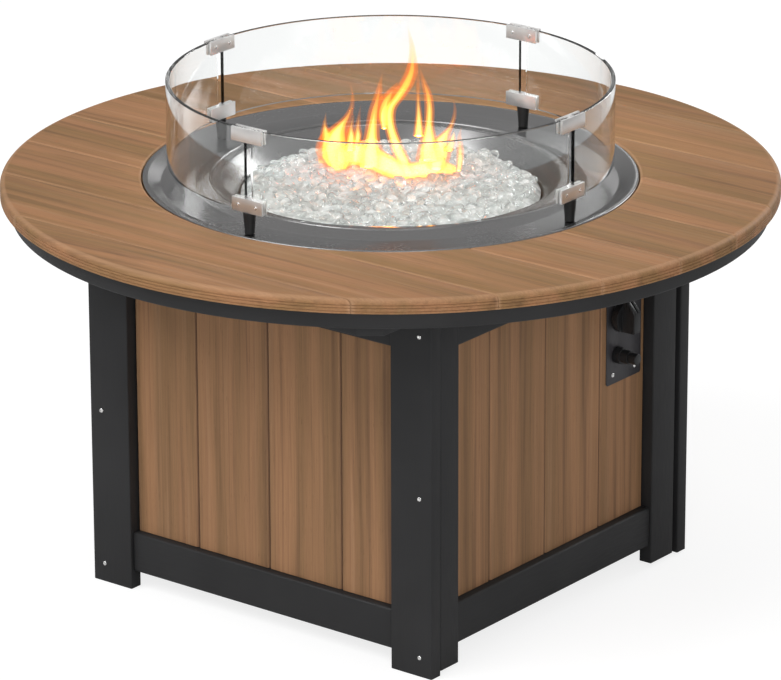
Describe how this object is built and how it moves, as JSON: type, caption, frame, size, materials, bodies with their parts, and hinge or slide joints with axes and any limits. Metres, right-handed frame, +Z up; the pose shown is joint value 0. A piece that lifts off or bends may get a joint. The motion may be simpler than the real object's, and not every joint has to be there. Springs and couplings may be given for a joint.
{
  "type": "fire pit table",
  "caption": "Round outdoor gas fire pit table with a board top, a square board-clad base with a rear access door, a drop-in steel burner pan with fire glass, and a glass wind guard.",
  "frame": {"origin": "on the floor, at the middle of the square base and under the centre of the round top", "axes": "+Z up; the front face is at -Y, the side with the controls at +X, the door at +Y"},
  "size_m": [1.1684, 1.1682, 0.7828],
  "materials": {
    "wood_board": "matt grained polymer board in weathered brown",
    "black_board": "matt grained polymer board in black",
    "pan_steel": "stainless sheet, brushed round the axis",
    "fire_glass": "clear tumbled fire glass",
    "clear_glass": "clear bent tempered glass",
    "clip_metal": "satin",
    "screw_steel": "bright",
    "hinge_steel": "satin",
    "tube_aluminium": "plain drawn",
    "brass": "plain turned",
    "white_ceramic": "unglazed",
    "plate_paint": "black powder coat",
    "black_plastic": "satin black",
    "foot_rubber": "matt black"
  },
  "bodies": {
    "table": {"top_board_1": "wood_board", "top_board_2": "wood_board", "top_board_3": "wood_board", "top_board_4": "wood_board", "top_board_5": "wood_board", "top_board_6": "wood_board", "top_board_7": "wood_board", "top_board_8": "wood_board", "top_board_9": "wood_board", "top_ring": "black_board", "under_battens": "black_board", "front_leg_left": "black_board", "front_leg_right": "black_board", "side_leg_right_front": "black_board", "side_leg_right_rear": "black_board", "side_leg_left_front": "black_board", "side_leg_left_rear": "black_board", "front_top_rail": "black_board", "front_bottom_rail": "black_board", "right_top_rail": "black_board", "right_bottom_rail": "black_board", "left_top_rail": "black_board", "left_bottom_rail": "black_board", "rear_header": "black_board", "rear_sill": "black_board", "inner_frame": "black_board", "front_panel": "wood_board", "right_panel": "wood_board", "left_panel": "wood_board", "hinge_frame_leaves": "hinge_steel", "hinge_pins": "hinge_steel", "magnetic_catch": "black_plastic", "face_screws": "screw_steel", "burner_pan": "pan_steel", "fire_glass": "fire_glass", "burner_ring": "pan_steel", "air_mixer": "brass", "igniter_electrode": "white_ceramic", "control_plate": "plate_paint", "gas_valve": "brass", "gas_tube": "tube_aluminium", "igniter_body": "black_plastic"},
    "door": {"door_stile_left": "black_board", "door_stile_right": "black_board", "door_top_rail": "black_board", "door_bottom_rail": "black_board", "door_panel": "wood_board", "hinge_door_leaves": "hinge_steel", "catch_strike": "hinge_steel"},
    "stem_carrier": {"stem_collar": "brass"},
    "knob": {"control_knob": "black_plastic", "valve_stem": "brass"},
    "button": {"igniter_button": "black_plastic"},
    "wind_guard": {"glass_panel_1": "clear_glass", "glass_panel_2": "clear_glass", "glass_panel_3": "clear_glass", "glass_panel_4": "clear_glass", "guard_clips": "clip_metal", "clip_screws": "screw_steel", "guard_feet": "foot_rubber"}
  },
  "joints": [
    {"name": "door_hinge", "type": "hinge", "parent": "table", "child": "door", "pos_m": [-0.328, 0.29355, 0], "axis": [0, 0, 1], "range_deg": [0, 110]},
    {"name": "knob_push", "type": "slide", "parent": "table", "child": "stem_carrier", "axis": [-1, 0, 0], "range_m": [0, 0.004], "stiffness_N_per_m": 800, "springref_m": -0.004},
    {"name": "knob_turn", "type": "hinge", "parent": "stem_carrier", "child": "knob", "pos_m": [0.3, 0.1547, 0.4276], "axis": [1, 0, 0], "range_deg": [0, 180]},
    {"name": "igniter_press", "type": "slide", "parent": "table", "child": "button", "axis": [-1, 0, 0], "range_m": [0, 0.004], "stiffness_N_per_m": 400, "springref_m": -0.005},
    {"name": "guard_lift", "type": "slide", "parent": "table", "child": "wind_guard", "axis": [0, 0, 1], "range_m": [0, 0.25]}
  ]
}
